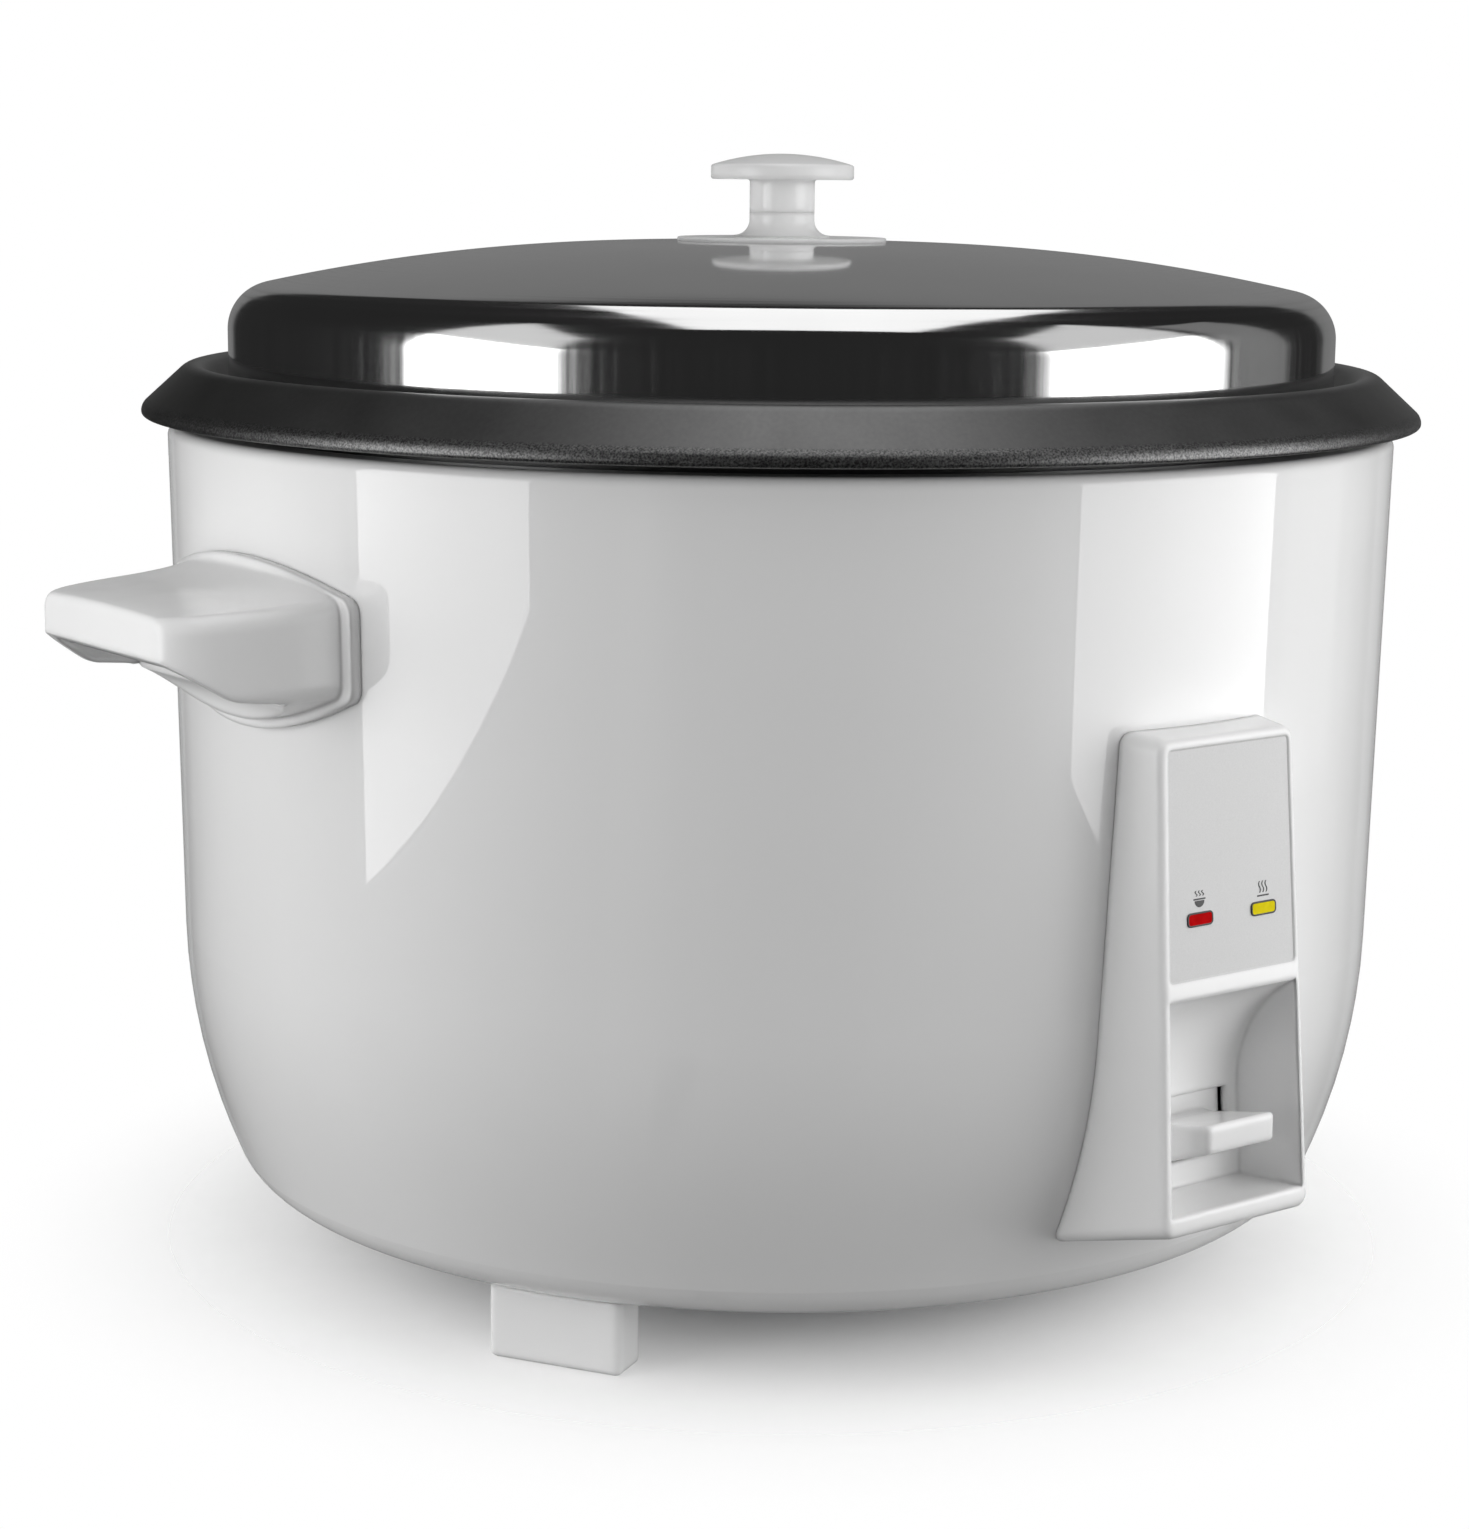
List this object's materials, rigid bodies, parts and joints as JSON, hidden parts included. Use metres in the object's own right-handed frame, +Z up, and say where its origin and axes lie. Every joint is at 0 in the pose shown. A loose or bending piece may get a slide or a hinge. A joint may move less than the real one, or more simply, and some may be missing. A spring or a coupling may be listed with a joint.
{
  "type": "rice cooker",
  "caption": "Large drum rice cooker with a lift-off domed lid, lift-out pot, side handles, and a front panel with a tilting lever switch and lamps.",
  "frame": {"origin": "on the drum's upright axis, at the surface that the feet stand on", "axes": "+Z up, the control panel faces -Y, the handles lie along X"},
  "size_m": [0.4942, 0.4303, 0.3587],
  "materials": {
    "white_paint": "gloss",
    "white_plastic": "gloss",
    "label_grey": "satin",
    "red_lens": "gloss",
    "amber_lens": "gloss",
    "lamp_glass": "clear",
    "pot_aluminium": "satin",
    "lid_steel": "polished",
    "cast_aluminium": "cast",
    "plain_steel": "bright",
    "coated_steel": "coated",
    "black_plastic": "matte",
    "brass": "bright",
    "ferrite": "matte"
  },
  "bodies": {
    "base": {"foot_front_left": "white_plastic", "foot_front_right": "white_plastic", "foot_back": "white_plastic", "outer_shell": "white_paint", "base_plate": "coated_steel", "base_screws": "plain_steel", "foot_screws": "plain_steel", "foot_nuts": "plain_steel", "handle_left": "white_plastic", "handle_right": "white_plastic", "handle_screws": "plain_steel", "control_panel": "white_plastic", "panel_screws": "plain_steel", "label_plate": "label_grey", "cook_lens": "red_lens", "warm_lens": "amber_lens", "lamp_holder": "black_plastic", "neon_lamps": "lamp_glass", "heat_shield": "coated_steel", "heater_plate": "cast_aluminium", "heater_terminals": "plain_steel", "heater_posts": "plain_steel", "heater_screws": "plain_steel", "sensor_spring": "plain_steel", "sensor_frame": "coated_steel", "lever_bracket": "coated_steel", "lever_pin": "plain_steel", "micro_switch": "black_plastic", "keep_warm_thermostat": "black_plastic", "thermal_fuse": "brass", "fuse_clip": "coated_steel", "terminal_block": "white_plastic", "power_inlet": "black_plastic", "inlet_pins": "brass"},
    "pot": {"inner_pot": "pot_aluminium"},
    "lid": {"lid": "lid_steel", "knob_washer": "white_plastic", "knob_base": "white_plastic", "knob_cap": "white_plastic", "knob_screw": "plain_steel"},
    "lever": {"lever_key": "white_plastic", "lever_arm": "coated_steel", "lever_screw": "plain_steel"},
    "sensor": {"sensor_cup": "cast_aluminium", "ferrite_core": "ferrite"},
    "magnet": {"magnet": "ferrite", "magnet_rod": "plain_steel"}
  },
  "joints": [
    {"name": "pot_lift", "type": "slide", "parent": "base", "child": "pot", "axis": [0, 0, 1], "range_m": [0, 0.2]},
    {"name": "lid_lift", "type": "slide", "parent": "pot", "child": "lid", "axis": [0, 0, 1], "range_m": [0, 0.12]},
    {"name": "sensor_press", "type": "slide", "parent": "base", "child": "sensor", "axis": [0, 0, 1], "range_m": [-0.002, 0], "stiffness_N_per_m": 800, "springref_m": 0.004, "deforming": ["sensor_spring"]},
    {"name": "lever_tilt", "type": "hinge", "parent": "base", "child": "lever", "pos_m": [0, -0.11, 0.04996], "axis": [-1, 0, 0], "range_deg": [0, 3.6]},
    {"name": "magnet_slide", "type": "slide", "parent": "sensor", "child": "magnet", "axis": [0, 0, 1], "range_m": [-0.0075, 0]}
  ],
  "couplings": [
    {"joint": "magnet_slide", "follows": "lever_tilt", "m_per_rad": -0.11}
  ]
}
